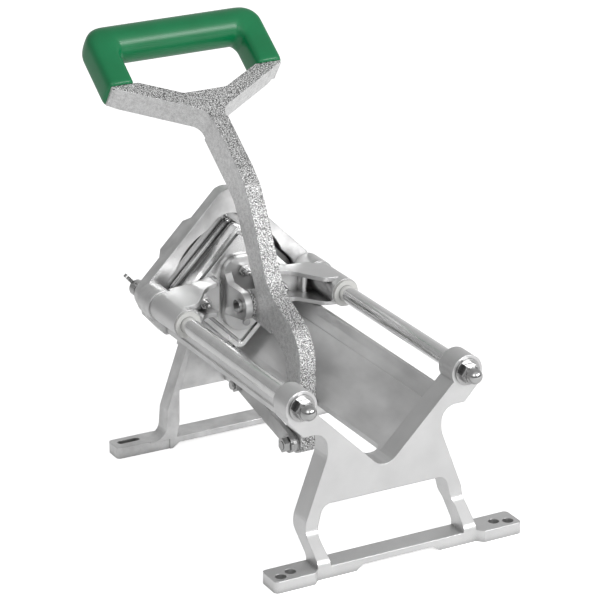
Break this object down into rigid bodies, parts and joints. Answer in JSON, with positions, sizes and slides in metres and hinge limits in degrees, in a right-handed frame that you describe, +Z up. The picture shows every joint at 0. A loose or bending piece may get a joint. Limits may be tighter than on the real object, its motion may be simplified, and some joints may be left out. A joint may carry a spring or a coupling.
{
  "type": "french fry cutter",
  "caption": "Bench french fry cutter: a cast lever slides a pegged pusher along two guide rods over a V trough and through a square grid of blades.",
  "frame": {"origin": "on the bench plane, midway between the two outer holes of the rear feet", "axes": "+X across the cutter to the right as seen from behind, +Y from the rear frame towards the blades, +Z up"},
  "size_m": [0.2486, 0.4594, 0.3843],
  "materials": {
    "cast_aluminium": "satin machined casting",
    "sand_cast_aluminium": "coarse sand-cast skin",
    "polished_aluminium": "polished casting",
    "polished_rod": "ground and polished",
    "plated_hardware": "bright plated",
    "link_steel": "satin flat bar",
    "blade_steel": "ground blade stock",
    "bushing_plastic": "smooth white plastic",
    "grip_vinyl": "glossy green dipped vinyl"
  },
  "bodies": {
    "frame": {"rear_frame": "cast_aluminium", "front_frame": "cast_aluminium", "guide_rod_left": "polished_rod", "guide_rod_right": "polished_rod", "rod_washers": "plated_hardware", "acorn_nuts": "plated_hardware", "wing_nuts": "plated_hardware", "trough": "cast_aluminium", "blade_holder_rear": "cast_aluminium", "blade_holder_front": "cast_aluminium", "blades_rising": "blade_steel", "blades_falling": "blade_steel", "holder_screws": "plated_hardware", "link_bracket_bolt": "plated_hardware", "link_bracket_nut": "plated_hardware"},
    "carriage": {"slide_arm_left": "cast_aluminium", "slide_arm_right": "cast_aluminium", "bushing_left": "bushing_plastic", "bushing_right": "bushing_plastic", "pusher_plate": "polished_aluminium", "peg_block": "cast_aluminium", "pusher_bolts": "plated_hardware", "pivot_bracket": "cast_aluminium", "bracket_screws": "plated_hardware", "pivot_pin": "plated_hardware", "pivot_clip": "plated_hardware"},
    "lever": {"lever_arm": "sand_cast_aluminium", "handle_grip": "grip_vinyl"},
    "link": {"link_bar": "link_steel", "link_bolt": "plated_hardware", "link_nut": "plated_hardware", "link_washers": "plated_hardware"}
  },
  "joints": [
    {"name": "carriage_slide", "type": "slide", "parent": "frame", "child": "carriage", "axis": [0, -1, 0], "range_m": [0, 0.15]},
    {"name": "lever_pivot", "type": "hinge", "parent": "carriage", "child": "lever", "pos_m": [0, 0.2578, 0.154], "axis": [1, 0, 0], "range_deg": [0, 68.45]},
    {"name": "link_pivot", "type": "hinge", "parent": "frame", "child": "link", "pos_m": [0, 0.2718, 0.069], "axis": [1, 0, 0], "range_deg": [0, 8.14]}
  ],
  "couplings": [
    {"joint": "lever_pivot", "follows": "carriage_slide", "rad_per_m": 7.9302},
    {"joint": "link_pivot", "follows": "carriage_slide", "rad_per_m": 0.91196}
  ]
}
